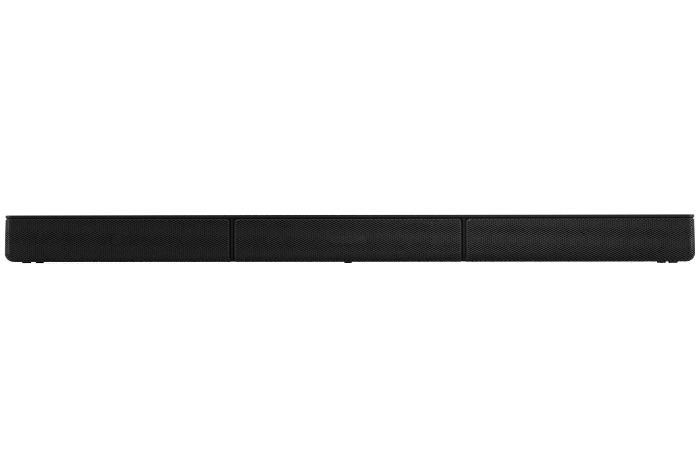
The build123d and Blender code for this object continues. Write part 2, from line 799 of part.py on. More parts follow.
# The optical socket has a sprung shutter, hung from a pin across the top of its mouth.
optical_half = 4.7
shutter_y = socket_front - 1.2
shutter_z = socket_z + optical_half - 0.9
shutter_drop = 8.2
hinge_radius = 0.6
pin_reach, pin_end_play = 1.0, 0.2  # of the shutter's pin, into each side of the mouth
mouth_depth = 10.0  # of the optical socket and the power inlet
with BuildPart() as optical:
    socket_block(optical_x, optical_body)
    box_between(
        optical_x - optical_half,
        optical_x + optical_half,
        socket_front - mouth_depth,
        socket_front + 1,
        socket_z - optical_half,
        socket_z + optical_half,
        mode=Mode.SUBTRACT,
    )
    with BuildSketch(facing_back(optical_x, socket_front - mouth_depth, socket_z - 1.5)):
        Circle(1.2)  # fibre window
    extrude(amount=0.8)
    with BuildSketch(Plane.YZ.offset(optical_x - optical_half - pin_reach - pin_end_play)):
        with Locations((shutter_y, shutter_z)):
            Circle(hinge_radius + 0.05)
    extrude(amount=2 * (optical_half + pin_reach + pin_end_play), mode=Mode.SUBTRACT)
save(optical.part, "optical_socket")

with BuildPart() as shutter:
    box_between(
        optical_x - optical_half + 0.25,
        optical_x + optical_half - 0.25,
        shutter_y - 0.4,
        shutter_y + 0.4,
        shutter_z - shutter_drop,
        shutter_z,
    )
    with BuildSketch(Plane.YZ.offset(optical_x - optical_half - pin_reach)):
        with Locations((shutter_y, shutter_z)):
            Circle(hinge_radius)
    extrude(amount=2 * (optical_half + pin_reach))
save(shutter.part, "optical_shutter")

inlet_mouth = (13.4, 8.4)
contact_spacing, contact_radius, contact_length = 8.6, 1.2, 8.0
with BuildPart() as inlet:
    socket_block(inlet_x, inlet_body)
    with BuildSketch(facing_back(inlet_x, socket_front, socket_z)):
        SlotOverall(*inlet_mouth)
    extrude(amount=-mouth_depth, mode=Mode.SUBTRACT)
    with BuildSketch(facing_back(inlet_x, socket_front - mouth_depth, socket_z)):
        with GridLocations(contact_spacing, contact_spacing, 2, 1):
            Circle(contact_radius)
    extrude(amount=contact_length)
save(inlet.part, "power_inlet")

# ---- Feet ----------------------------------------------------------------------------------------
foot_edge = 0.8
with BuildPart() as corner_feet:
    with BuildSketch(Plane.XY):
        with Locations([(x, y) for x in (-foot_x, foot_x) for y in (front_foot_y, rear_foot_y)]):
            Circle(foot_radius)
    extrude(amount=tub_bottom)
    chamfer(corner_feet.edges().group_by(Axis.Z)[0], foot_edge)
save(corner_feet.part, "corner_feet")

with BuildPart() as center_foot:
    with BuildSketch(Plane.XY):
        with Locations((0, center_foot_y)):
            RectangleRounded(center_foot_length, center_foot_width, 2.0)
    extrude(amount=tub_bottom)
    chamfer(center_foot.faces().sort_by(Axis.Z)[0].edges(), foot_edge / 2)
save(center_foot.part, "center_foot")

# ---- Adhesive strips between the grilles and the enclosure, along the bottom and up the ends -------
strip_form = bar_form(sheet, grille_top)
strip_gap = 12.0  # left free on each side of a divider
with BuildPart() as grille_adhesive:
    add(strip_form)
    add(inner_form, mode=Mode.SUBTRACT)
    keep_depths(tub_front, front + flange)
    for x in (-divider_x, divider_x):
        box_between(x - strip_gap, x + strip_gap, front, back, 0, plate_top, mode=Mode.SUBTRACT)
save(grille_adhesive.part, "grille_adhesive")

# ---- Speaker wires: a trunk along the floor, a lead to the main board and one to each driver -------
terminal_y = baffle_front + cage_depth - 0.75
tweeter_back = baffle_front + tweeter_depth
connector_x, connector_z = -89.0, 30.0
woofer_route = ((trunk_y, trunk_z), (terminal_y, trunk_z), (terminal_y, terminal_z))
tweeter_route = ((trunk_y, trunk_z), (-20.0, trunk_z), (-20.0, driver_z), (tweeter_back, driver_z))
board_route = ((trunk_y, trunk_z), (trunk_y, connector_z), (board_front - 6.0, connector_z))
branches = [(x + terminal_offset, woofer_route) for x in woofer_x]
branches += [(x, tweeter_route) for x in tweeter_x]
branches += [(connector_x, board_route)]
trunk_reach = woofer_x[-1] + terminal_offset
with BuildPart() as speaker_wires:
    with BuildSketch(Plane.YZ.offset(-trunk_reach + 2 * terminal_offset)):
        with Locations((trunk_y, trunk_z)):
            Circle(trunk_radius)
    extrude(amount=2 * trunk_reach - 2 * terminal_offset)
    for x, route in branches:
        with BuildLine(Plane.YZ.offset(x)) as path:
            FilletPolyline(*route, radius=4.0)
        with BuildSketch(Plane(origin=path.line @ 0, z_dir=path.line % 0)):
            Circle(branch_radius)
        sweep()
save(speaker_wires.part, "speaker_wires")
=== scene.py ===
import json
import math
import bmesh
import bpy
import numpy as np
from mathutils import Matrix, Vector
from mathutils.geometry import delaunay_2d_cdt


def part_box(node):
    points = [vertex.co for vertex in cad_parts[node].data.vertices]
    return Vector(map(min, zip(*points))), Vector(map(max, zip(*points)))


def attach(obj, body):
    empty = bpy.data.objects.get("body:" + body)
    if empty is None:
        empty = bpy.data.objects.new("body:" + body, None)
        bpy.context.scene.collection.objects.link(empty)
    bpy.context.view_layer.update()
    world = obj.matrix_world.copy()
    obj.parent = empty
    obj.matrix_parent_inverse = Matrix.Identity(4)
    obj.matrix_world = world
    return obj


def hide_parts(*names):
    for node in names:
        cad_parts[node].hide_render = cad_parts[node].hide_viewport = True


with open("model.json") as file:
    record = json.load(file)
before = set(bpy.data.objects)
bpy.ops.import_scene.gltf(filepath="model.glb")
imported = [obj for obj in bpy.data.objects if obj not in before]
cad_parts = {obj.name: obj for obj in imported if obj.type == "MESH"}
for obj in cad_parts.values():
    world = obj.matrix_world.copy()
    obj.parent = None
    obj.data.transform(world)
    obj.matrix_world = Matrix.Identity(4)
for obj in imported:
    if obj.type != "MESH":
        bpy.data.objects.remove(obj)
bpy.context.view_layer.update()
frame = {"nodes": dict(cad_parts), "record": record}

# A soundbar on a pale studio floor. Metres, in the CAD model's own frame: +X along the bar, the
# grilles face -Y, +Z up.

MM = 0.001

# ---- The grille sheet's form, as in the CAD model ------------------------------------------------
PLAN_RADIUS = 14 * MM  # front corners of the bar, seen from above
ROLL_RADIUS = 13 * MM  # roll into the bottom
DRAFT = math.radians(0.9)
SHEET = 0.8 * MM
LIP = 0.8 * MM  # flat rim past the roll, under the bar
TOP_CORNER = 4.5 * MM  # beside a divider
TOP_EASE = 1.0 * MM  # the sheet's top edge leans in over this height
TOP_LEAN = 0.45 * TOP_EASE  # and by this much

# ---- The diamond mesh that is punched in it ------------------------------------------------------
PITCH = 5.97 * MM  # along a row
ROW = 1.515 * MM  # from one row to the next, which is half a pitch along
HOLE_HALF = (2.05 * MM, 1.06 * MM)
HOLE_TIP = 0.16 * MM  # half the blunt end of a hole
STRAND_CROWN = 0.10 * MM  # the holes' rims lie this far behind the strands' crossings
SIDE_MARGIN = 1.05 * MM  # plain sheet left beside the first and last holes
TOP_MARGIN = 0.9 * MM
CORNER_MARGIN = 0.05 * MM  # in a round corner
ROLL_SHARE = 0.72  # how much of the roll is punched
BORDER_STEP = 3 * MM  # between points along the sheet's edge
CORNER_STEPS = 6
SHARP_ANGLE = math.radians(38)  # edges that turn more than this are shaded as sharp

# ---- Circuit boards: the solder mask, the same over a track, and the grey of the components ------
GREEN = ((0.010, 0.085, 0.030), (0.030, 0.170, 0.060), 0.035)
BLACK = ((0.004, 0.004, 0.005), (0.006, 0.006, 0.007), 0.007)

BOARD_LAYER = 1.65 * MM  # a little over the thickness of a board
THIN_BOARD_LAYER = 1.05 * MM  # and of the indicator board

# ---- Contact tongues in the sockets: half width, half height, and how far above the middle ---------
HDMI_TONGUE = (5.5 * MM, 0.55 * MM, 0.0)
USB_TONGUE = (5.5 * MM, 0.92 * MM, 0.8 * MM)

# ---- Key legends, on the cover in front of the keys ----------------------------------------------
LEGEND_SIZE = 1.7 * MM  # half its height
LEGEND_LINE = 0.36 * MM
LEGEND_RISE = 0.05 * MM
LEGEND_BEVEL = 0.22  # a line's top is narrower than its foot by this share on each side
LEGEND_GAP = 3.4 * MM  # from the key's edge to the legend's middle
KEY_PROUD = 0.3 * MM
KEY_LIP = 1.2 * MM  # the retaining lip under the cover

# ---- Camera --------------------------------------------------------------------------------------
CAMERA_DISTANCE = 1.636
CAMERA_HEIGHT = 0.008
CAMERA_AZIMUTH = math.radians(1.235)
CAMERA_TURN = math.radians(0.085)  # to the right of the bar's middle
CAMERA_PITCH = math.radians(1.251)
CAMERA_ROLL = math.radians(-0.05)
CAMERA_LENS = 56.75

# ---- Light ---------------------------------------------------------------------------------------
SKY_LEVEL = 1.7  # the world's strength behind and above the bar
FRONT_LEVEL = 0.03  # and in front of it
BEHIND = (-0.05, 0.30)  # the change between them, along a direction's Y
ABOVE = (0.45, 0.80)  # and along its Z
KEY_PLACE, KEY_TARGET = (0.26, -0.95, 0.42), (0.16, 0.0, 0.03)
KEY_SIZE, KEY_POWER = (0.45, 0.45), 6.4
STRIP_PLACE, STRIP_TARGET = (1.45, -0.40, 0.30), (0.5, 0.0, 0.03)  # at the right end
STRIP_SIZE = (0.05, 0.8)
STRIP_POWERS = ((-1, 13.0), (1, 18.0))  # left and right
FLOOR_RADIUS = 9.0
FLOOR_SIDES = 96


# ==== Materials ===================================================================================
class Nodes:
    """A material's node tree with a Principled shader, and short ways to add to it."""

    COLOUR_SOCKETS = (6, 7)  # a Mix node's two colour inputs

    def __init__(self, name, metallic=0.0):
        self.material = bpy.data.materials.new(name)
        self.material.use_nodes = True
        self.tree = self.material.node_tree
        self.shader = self.tree.nodes["Principled BSDF"]
        self.shader.inputs["Metallic"].default_value = metallic
        self.place = self.tree.nodes.new("ShaderNodeTexCoord").outputs["Object"]

    def link(self, source, target):
        self.tree.links.new(source, target)

    def math(self, operation, *values):
        node = self.tree.nodes.new("ShaderNodeMath")
        node.operation = operation
        for socket, value in zip(node.inputs, values):
            if isinstance(value, (int, float)):
                socket.default_value = value
            else:
                self.link(value, socket)
        return node.outputs[0]

    def stretched(self, scale):
        """The object's own coordinates, multiplied by scale."""
        node = self.tree.nodes.new("ShaderNodeMapping")
        node.inputs["Scale"].default_value = scale
        self.link(self.place, node.inputs["Vector"])
        return node.outputs["Vector"]

    def noise(self, size, detail=3.0, rough=0.5, vector=None):
        """Noise whose grains are about size metres."""
        node = self.tree.nodes.new("ShaderNodeTexNoise")
        node.inputs["Scale"].default_value = 1.0 / size
        node.inputs["Detail"].default_value = detail
        node.inputs["Roughness"].default_value = rough
        self.link(vector or self.place, node.inputs["Vector"])
        return node.outputs["Fac"]

    def cells(self, size, feature="F1"):
        """Distances in Voronoi cells about size metres across."""
        node = self.tree.nodes.new("ShaderNodeTexVoronoi")
        node.feature = feature
        node.inputs["Scale"].default_value = 1.0 / size
        self.link(self.place, node.inputs["Vector"])
        return node.outputs["Distance"]

    def axis(self, letter):
        node = self.tree.nodes.new("ShaderNodeSeparateXYZ")
        self.link(self.place, node.inputs[0])
        return node.outputs[letter]

    def band(self, letter, low, high):
        """1 where the object's own coordinate lies between low and high, and 0 elsewhere."""
        value = self.axis(letter)
        above = self.math("GREATER_THAN", value, low)
        below = self.math("LESS_THAN", value, high)
        return self.math("MULTIPLY", above, below)

    def stripes(self, letter, period, share):
        """1 on a share of each period along an axis, and 0 on the rest."""
        step = self.math("FRACT", self.math("MULTIPLY", self.axis(letter), 1.0 / period))
        return self.math("LESS_THAN", step, share)

    def spread(self, factor, low, high, start=0.0, end=1.0):
        """factor, from start to end, mapped to low to high."""
        node = self.tree.nodes.new("ShaderNodeMapRange")
        self.link(factor, node.inputs["Value"])
        for name, value in (("From Min", start), ("From Max", end), ("To Min", low), ("To Max", high)):
            node.inputs[name].default_value = value
        return node.outputs["Result"]

    def mix(self, factor, first, second):
        node = self.tree.nodes.new("ShaderNodeMix")
        node.data_type = "RGBA"
        self.link(factor, node.inputs["Factor"])
        for index, value in zip(self.COLOUR_SOCKETS, (first, second)):
            socket = node.inputs[index]
            if isinstance(value, tuple):
                socket.default_value = (*value, 1.0)
            else:
                self.link(value, socket)
        return node.outputs[2]

    def colour(self, value):
        if isinstance(value, tuple):
            self.shader.inputs["Base Color"].default_value = (*value, 1.0)
        else:
            self.link(value, self.shader.inputs["Base Color"])

    def roughness(self, factor, low, high):
        """Roughness from low to high where factor, a noise, goes from 0.3 to 0.7."""
        self.link(self.spread(factor, low, high, 0.3, 0.7), self.shader.inputs["Roughness"])

    def bump(self, height, depth):
        node = self.tree.nodes.new("ShaderNodeBump")
        node.inputs["Distance"].default_value = depth
        node.inputs["Strength"].default_value = 1.0
        self.link(height, node.inputs["Height"])
        self.link(node.outputs["Normal"], self.shader.inputs["Normal"])


def grey(level):
    return (level, level, level)


def shaded(level, change):
    """Two greys a little each side of level."""
    return grey(level * (1 - change)), grey(level * (1 + change))


def moulded(name, level, low, high, grain, depth, specular=0.5):
    """Moulded plastic or rubber: an even spark-eroded grain, with slight changes over centimetres."""
    n = Nodes(name)
    n.shader.inputs["Specular IOR Level"].default_value = specular
    fine = n.noise(grain, detail=2.0)
    broad = n.noise(30 * MM, detail=2.0)
    n.colour(n.mix(broad, *shaded(level, 0.12)))
    n.roughness(n.math("MULTIPLY", n.math("ADD", fine, broad), 0.5), low, high)
    n.bump(fine, depth)
    return n.material


def powder_coat(name, level, low, high, specular=0.5):
    """Powder coat on steel: a fine orange peel under a finer grain."""
    n = Nodes(name)
    n.shader.inputs["Specular IOR Level"].default_value = specular
    peel = n.noise(1.1 * MM, detail=1.0)
    grain = n.noise(0.28 * MM, detail=2.0)
    n.colour(n.mix(n.noise(40 * MM), *shaded(level, 0.08)))
    n.roughness(grain, low, high)
    n.bump(n.math("ADD", peel, n.math("MULTIPLY", grain, 0.5)), 0.03 * MM)
    return n.material


def plated(name, colour, roughness, grain):
    """Plated or bare metal, drawn lengthwise, a little dull in patches."""
    n = Nodes(name, metallic=1.0)
    drawn = n.noise(grain, vector=n.stretched((0.08, 1.0, 1.0)))
    patch = n.noise(6 * MM)
    darker = tuple(0.8 * c for c in colour)
    n.colour(n.mix(patch, darker, colour))
    n.roughness(patch, roughness * 0.8, roughness * 1.25)
    n.bump(drawn, 0.01 * MM)
    return n.material


def paper_cone(name):
    """Coated paper pulp: short fibres in every direction."""
    n = Nodes(name)
    fibre = n.noise(0.5 * MM, detail=6.0, rough=0.7)
    n.colour(n.mix(fibre, grey(0.005), grey(0.011)))
    n.shader.inputs["Specular IOR Level"].default_value = 0.15
    n.roughness(fibre, 0.7, 0.9)
    n.bump(fibre, 0.12 * MM)
    return n.material


def woven_dome(name):
    """Coated silk: a plain weave, seen from the front."""
    n = Nodes(name)
    across = n.math("SINE", n.math("MULTIPLY", n.axis("X"), 2 * math.pi / (0.3 * MM)))
    along = n.math("SINE", n.math("MULTIPLY", n.axis("Z"), 2 * math.pi / (0.3 * MM)))
    weave = n.math("MULTIPLY", across, along)
    n.colour(n.mix(n.spread(weave, 0.0, 1.0, -1.0, 1.0), grey(0.006), grey(0.014)))
    n.shader.inputs["Specular IOR Level"].default_value = 0.15
    n.roughness(n.noise(0.6 * MM), 0.55, 0.8)
    n.bump(weave, 0.03 * MM)
    return n.material


def circuit_board(name, letter, low, high, resist, copper, parts_grey):
    """Solder mask over tracks on the board itself, which lies between low and high, and dark component
    bodies on the rest."""
    n = Nodes(name)
    board = n.band(letter, low, high)
    tracks = n.math("LESS_THAN", n.cells(2.4 * MM, "DISTANCE_TO_EDGE"), 0.06)
    mask = n.mix(tracks, resist, copper)
    parts = n.mix(n.noise(5 * MM), grey(0.6 * parts_grey), grey(1.4 * parts_grey))
    n.colour(n.mix(board, parts, mask))
    n.roughness(n.noise(1.5 * MM), 0.3, 0.5)
    n.shader.inputs["Specular IOR Level"].default_value = 0.2
    n.bump(tracks, 0.03 * MM)
    return n.material


def socket_shell(name, centres, middle, tongue_size):
    """Nickel shells whose contact tongues are black with gilded stripes."""
    half_width, half_height, rise = tongue_size
    middle = middle + rise
    n = Nodes(name)
    tongue = None
    for x in centres:
        here = n.band("X", x - half_width, x + half_width)
        tongue = here if tongue is None else n.math("MAXIMUM", tongue, here)
    tongue = n.math("MULTIPLY", tongue, n.band("Z", middle - half_height, middle + half_height))
    gilt = n.stripes("X", 1.0 * MM, 0.5)
    nickel = n.mix(n.noise(2 * MM), grey(0.42), grey(0.58))
    n.colour(n.mix(tongue, nickel, n.mix(gilt, grey(0.02), (0.72, 0.50, 0.18))))
    n.link(n.spread(tongue, 1.0, 0.35), n.shader.inputs["Metallic"])
    n.roughness(n.noise(0.8 * MM), 0.25, 0.42)
    n.bump(n.noise(0.4 * MM), 0.01 * MM)
    return n.material


def wall_case(name):
    """The enclosure: coarse spark-eroded grain, with a softly changing sheen."""
    n = Nodes(name)
    n.shader.inputs["Specular IOR Level"].default_value = 0.25
    coarse = n.noise(0.7 * MM, detail=3.0)
    fine = n.cells(0.45 * MM)
    broad = n.noise(60 * MM, detail=2.0)
    n.colour(n.mix(broad, *shaded(0.011, 0.15)))
    n.roughness(n.math("MULTIPLY", n.math("ADD", coarse, broad), 0.5), 0.48, 0.68)
    n.bump(n.math("ADD", coarse, n.math("MULTIPLY", fine, 0.6)), 0.06 * MM)
    return n.material


def middle_of(node):
    """The middle of a CAD node's box."""
    low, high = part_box(node)
    return (low.x + high.x) / 2, (low.y + high.y) / 2, (low.z + high.z) / 2


def make_materials():
    """The material of each of the record's slots, or of each node of a slot where they differ."""
    hdmi = [middle_of(f"hdmi_socket_{i}")[0] for i in (1, 2)]
    usb_x, _, middle = middle_of("usb_socket")
    board_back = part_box("main_board")[1].y
    board_front = board_back - BOARD_LAYER
    control_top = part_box("control_board")[0].z + BOARD_LAYER
    indicator_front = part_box("indicator_board")[1].y - THIN_BOARD_LAYER
    return {
        "grille_steel": powder_coat("grille_coat", 0.0075, 0.34, 0.44, specular=0.17),
        "rib_plastic": moulded("rib_satin", 0.003, 0.42, 0.54, 0.35 * MM, 0.02 * MM, specular=0.07),
        "cover_plastic": moulded("cover_satin", 0.004, 0.38, 0.50, 0.32 * MM, 0.025 * MM, specular=0.09),
        "key_plastic": moulded("key_satin", 0.009, 0.30, 0.42, 0.25 * MM, 0.012 * MM, specular=0.18),
        "case_plastic": {
            "enclosure": wall_case("case_grain"),
            "front_baffle": moulded("baffle_matt", 0.005, 0.60, 0.75, 0.6 * MM, 0.03 * MM, specular=0.1),
        },
        "foam": moulded("closed_cell_foam", 0.010, 0.80, 0.95, 0.5 * MM, 0.15 * MM, specular=0.2),
        "basket_steel": powder_coat("basket_paint", 0.007, 0.55, 0.70, specular=0.1),
        "magnet_steel": plated("magnet_zinc", (0.30, 0.30, 0.31), 0.40, 0.5 * MM),
        "cone_paper": paper_cone("cone_paper"),
        "suspension_rubber": moulded(
            "surround_rubber", 0.006, 0.60, 0.75, 0.6 * MM, 0.02 * MM, specular=0.1
        ),
        "tweeter_plastic": moulded("tweeter_plastic", 0.006, 0.55, 0.70, 0.4 * MM, 0.03 * MM, specular=0.1),
        "dome_fabric": woven_dome("dome_silk"),
        "screw_steel": plated("screw_oxide", (0.022, 0.022, 0.024), 0.45, 0.3 * MM),
        "brass": plated("insert_brass", (0.72, 0.50, 0.22), 0.32, 0.3 * MM),
        "circuit_board": {
            "main_board": circuit_board("main_circuit", "Y", board_front, board_back, *GREEN),
            "power_board": circuit_board("power_circuit", "Y", board_front, board_back, *GREEN),
            "control_board": circuit_board("control_circuit", "Z", 0.0, control_top, *GREEN),
            "indicator_board": circuit_board("indicator_circuit", "Y", indicator_front, 0.0, *BLACK),
        },
        "aluminium": plated("heatsink_aluminium", (0.60, 0.60, 0.62), 0.36, 0.4 * MM),
        "cable_jacket": moulded("wire_jacket", 0.030, 0.45, 0.60, 0.8 * MM, 0.02 * MM),
        "socket_shell": {
            "usb_socket": socket_shell("usb_shell", [usb_x], middle, USB_TONGUE),
            "hdmi_socket_1": socket_shell("hdmi_shell", hdmi, middle, HDMI_TONGUE),
            "hdmi_socket_2": socket_shell("hdmi_shell_2", hdmi, middle, HDMI_TONGUE),
        },
        "socket_plastic": moulded("socket_gloss", 0.018, 0.22, 0.34, 0.5 * MM, 0.008 * MM),
        "foot_rubber": moulded("foot_rubber", 0.016, 0.62, 0.80, 0.5 * MM, 0.05 * MM, specular=0.3),
    }


def paint_nodes(materials):
    """Gives every CAD node its slot's material."""
    for entry in frame["record"]["subparts"]:
        name = entry["node"]
        material = materials[entry["material_slot"]]
        if isinstance(material, dict):
            material = material[name]
        mesh_object = frame["nodes"][name]
        if not mesh_object.material_slots:
            mesh_object.data.materials.append(material)
        for material_slot in mesh_object.material_slots:
            material_slot.material = material


# ==== Grilles =====================================================================================
class BarForm:
    """The curved sheet that the grilles are pressed to.

    s runs along the outline of the bar, seen from above, from its middle. t runs down the front from
    the sheet's top edge, round the roll and in under the bar.
    """

    def __init__(self):
        low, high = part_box("grille_left")
        self.front = low.y
        self.top = high.z
        self.wall = (self.top - (low.z + ROLL_RADIUS)) / math.cos(DRAFT)  # length down to the roll
        self.roll = ROLL_RADIUS * math.pi / 2
        self.depth = self.wall + self.roll + LIP
        self.straight = -low.x - PLAN_RADIUS  # length from the middle to the corner
        self.bend = PLAN_RADIUS * math.pi / 2
        self.end = self.straight + self.bend + high.y - (self.front + PLAN_RADIUS)

    def outline(self, s):
        """(x, y) and the outward (x, y) of the outline at s."""
        side, s = np.sign(s), np.abs(s)
        angle = np.clip((s - self.straight) / PLAN_RADIUS, 0, math.pi / 2)
        along = np.minimum(s, self.straight)
        past = np.maximum(s - self.straight - self.bend, 0)
        out_x, out_y = np.sin(angle), -np.cos(angle)
        x = along + PLAN_RADIUS * out_x
        y = self.front + PLAN_RADIUS + PLAN_RADIUS * out_y + past
        return side * x, y, side * out_x, out_y

    def place(self, s, t, depth):
        """The point at (s, t), which lies depth inside the sheet's outer face."""
        x, y, out_x, out_y = self.outline(s)
        angle = np.clip((t - self.wall) / ROLL_RADIUS, 0, math.pi / 2)
        on_wall = np.minimum(t, self.wall)
        past = np.maximum(t - self.wall - self.roll, 0)
        z = self.top - on_wall * math.cos(DRAFT) - ROLL_RADIUS * np.sin(angle)
        inset = (self.wall - on_wall) * math.sin(DRAFT) + ROLL_RADIUS * (1 - np.cos(angle)) + past
        ease = np.maximum(1 - t / TOP_EASE, 0)
        inset = inset + depth * np.cos(angle) + TOP_LEAN * ease**2
        z = z + depth * np.sin(angle)
        return np.stack([x - out_x * inset, y - out_y * inset, z], axis=1)


def grille_border(form, s_low, s_high, round_low, round_high):
    """The sheet's edge in (s, t), as a closed list of points, with round top corners by the dividers."""
    points = []

    def run(start, stop):
        count = max(1, round(math.dist(start, stop) / BORDER_STEP))
        for i in range(count):
            share = i / count
            points.append([a + (b - a) * share for a, b in zip(start, stop)])

    def arc(centre, start_angle):
        s, t = centre
        for i in range(CORNER_STEPS):
            angle = start_angle + math.pi / 2 * i / CORNER_STEPS
            points.append([s + TOP_CORNER * math.cos(angle), t + TOP_CORNER * math.sin(angle)])

    low_top = TOP_CORNER if round_low else 0
    high_top = TOP_CORNER if round_high else 0
    run((s_low, form.depth), (s_low, low_top))
    if round_low:
        arc((s_low + TOP_CORNER, TOP_CORNER), math.pi)
    run((s_low + low_top, 0), (s_high - high_top, 0))
    if round_high:
        arc((s_high - TOP_CORNER, TOP_CORNER), 1.5 * math.pi)
    run((s_high, high_top), (s_high, form.depth))
    run((s_high, form.depth), (s_low, form.depth))
    return points


def in_round_corner(across, up):
    """Whether the diamond cell centred that far from a round corner's centre, towards the divider and
    towards the top, stays inside the corner."""
    limit = TOP_CORNER - CORNER_MARGIN
    tips = ((across + PITCH / 2, up), (across, up + ROW))
    return not any(min(tip) > 0 and math.hypot(*tip) > limit for tip in tips)


def punched_cells(form, s_low, s_high, round_low, round_high):
    """(column, row) of each hole, in half pitches and rows from an anchor that is returned too.

    The outer sections are anchored at their divider. The middle one has holes as near to both.
    """
    reach = SIDE_MARGIN + HOLE_HALF[0]
    if round_low and round_high:
        anchor = (s_low + s_high) / 2 + PITCH / 4
    elif round_low:
        anchor = s_low + reach
    else:
        anchor = s_high - reach
    first = TOP_MARGIN + HOLE_HALF[1]
    last = form.wall + ROLL_SHARE * form.roll - HOLE_HALF[1]
    rows = int((last - first) / ROW) + 1
    from_column = math.ceil((s_low + reach - anchor) / (PITCH / 2) - 0.01)
    to_column = math.floor((s_high - reach - anchor) / (PITCH / 2) + 0.01)
    cells = []
    for row in range(rows):
        for column in range(from_column, to_column + 1):
            if (column + row) % 2:
                continue
            s, t = anchor + column * PITCH / 2, first + row * ROW
            clear = all(
                in_round_corner(sign * (edge - s) + TOP_CORNER, TOP_CORNER - t)
                for rounded, edge, sign in ((round_low, s_low, 1), (round_high, s_high, -1))
                if rounded
            )
            if clear:
                cells.append((column, row))
    return cells, anchor, first


def hole_rim():
    """One hole about its middle, in (s, t): a diamond with blunt tips left and right."""
    half_s, half_t = HOLE_HALF
    return (
        (half_s, HOLE_TIP),
        (half_s, -HOLE_TIP),
        (0, -half_t),
        (-half_s, -HOLE_TIP),
        (-half_s, HOLE_TIP),
        (0, half_t),
    )


def ring(hole, right, up, left, down):
    """The ten triangles between a hole's six points and its cell's four corners."""
    return [
        (right, hole[0], hole[1]),
        (right, hole[1], hole[2]),
        (right, hole[2], up),
        (up, hole[2], hole[3]),
        (up, hole[3], left),
        (left, hole[3], hole[4]),
        (left, hole[4], hole[5]),
        (left, hole[5], down),
        (down, hole[5], hole[0]),
        (down, hole[0], right),
    ]


def punch_cells(cells, anchor, first):
    """The punched cells laid flat: points (s, t, depth), triangles, the holes' rims, and the edges
    that belong to one cell only. Neighbouring cells share their corners."""
    points, corner_index, triangles, rims, edge_uses = [], {}, [], [], {}

    def corner(column, row):
        key = (column, row)
        if key not in corner_index:
            corner_index[key] = len(points)
            points.append((anchor + column * PITCH / 2, first + row * ROW, 0.0))
        return corner_index[key]

    for column, row in cells:
        right, up = corner(column + 1, row), corner(column, row - 1)
        left, down = corner(column - 1, row), corner(column, row + 1)
        s, t = anchor + column * PITCH / 2, first + row * ROW
        rim = [len(points) + i for i in range(len(hole_rim()))]
        points.extend((s + x, t + y, STRAND_CROWN) for x, y in hole_rim())
        rims.append(rim)
        triangles += ring(rim, right, up, left, down)
        for a, b in ((right, up), (up, left), (left, down), (down, right)):
            edge = (min(a, b), max(a, b))
            edge_uses[edge] = edge_uses.get(edge, 0) + 1
    return points, triangles, rims, [edge for edge, uses in edge_uses.items() if uses == 1]


def in_a_cell(s, t, anchor, first, cells):
    """Whether (s, t) lies in one of the diamond cells."""
    u, v = (s - anchor) / (PITCH / 2), (t - first) / ROW
    for column in range(math.floor(u), math.floor(u) + 2):
        for row in range(math.floor(v), math.floor(v) + 2):
            if (column, row) in cells and abs(u - column) + abs(v - row) < 1 + 1e-4:
                return True
    return False


def in_outline(s, t, outline):
    """Whether (s, t) lies inside a closed outline, by counting crossings."""
    a, b = outline, np.roll(outline, -1, axis=0)
    spans = (a[:, 1] > t) != (b[:, 1] > t)
    run = np.where(spans, b[:, 1] - a[:, 1], 1.0)
    crossing = a[:, 0] + (t - a[:, 1]) / run * (b[:, 0] - a[:, 0])
    return np.count_nonzero(spans & (crossing > s)) % 2 == 1


def flat_pattern(form, s_low, s_high, round_low, round_high):
    """The punched sheet laid flat: points (s, t, depth), triangles, the holes' rims and the edge.

    What lies between the punched cells and the sheet's edge is filled by a Delaunay triangulation.
    """
    cells, anchor, first = punched_cells(form, s_low, s_high, round_low, round_high)
    points, triangles, rims, cell_edges = punch_cells(cells, anchor, first)

    border = grille_border(form, s_low, s_high, round_low, round_high)
    border_loop = list(range(len(points), len(points) + len(border)))
    points.extend((s, t, 0.0) for s, t in border)
    fill = sorted({i for edge in cell_edges for i in edge}) + border_loop

    # Spare points where the roll isn't punched, so that the filling bends evenly.
    spare_start = len(points)
    lowest = first + max(row for _, row in cells) * ROW
    for t in np.arange(lowest + 2.5 * ROW, form.depth - 0.5 * ROW, ROW):
        points.extend((s, t, 0.0) for s in np.arange(s_low + PITCH / 2, s_high - PITCH / 4, PITCH))
    fill += range(spare_start, len(points))

    place_in_fill = {index: i for i, index in enumerate(fill)}
    edges = cell_edges + list(zip(border_loop, border_loop[1:] + border_loop[:1]))
    edges = [(place_in_fill[a], place_in_fill[b]) for a, b in edges]
    # In pitches, because the triangulation works best on numbers near 1.
    flat = [Vector((points[i][0] / PITCH, points[i][1] / PITCH)) for i in fill]
    _, _, faces, sources, _, _ = delaunay_2d_cdt(flat, edges, [], 0, 1e-6)
    back = [fill[source[0]] for source in sources]
    punched, outline = set(cells), np.array(border)
    for face in faces:
        a, b, c = (back[i] for i in face)
        s = (points[a][0] + points[b][0] + points[c][0]) / 3
        t = (points[a][1] + points[b][1] + points[c][1]) / 3
        if in_outline(s, t, outline) and not in_a_cell(s, t, anchor, first, punched):
            triangles.append((a, c, b))
    return points, triangles, rims, border_loop


def orient_outwards(piece):
    """Makes all the faces of a closed mesh look outwards."""
    work = bmesh.new()
    work.from_mesh(piece.data)
    bmesh.ops.recalc_face_normals(work, faces=work.faces)
    work.to_mesh(piece.data)
    work.free()


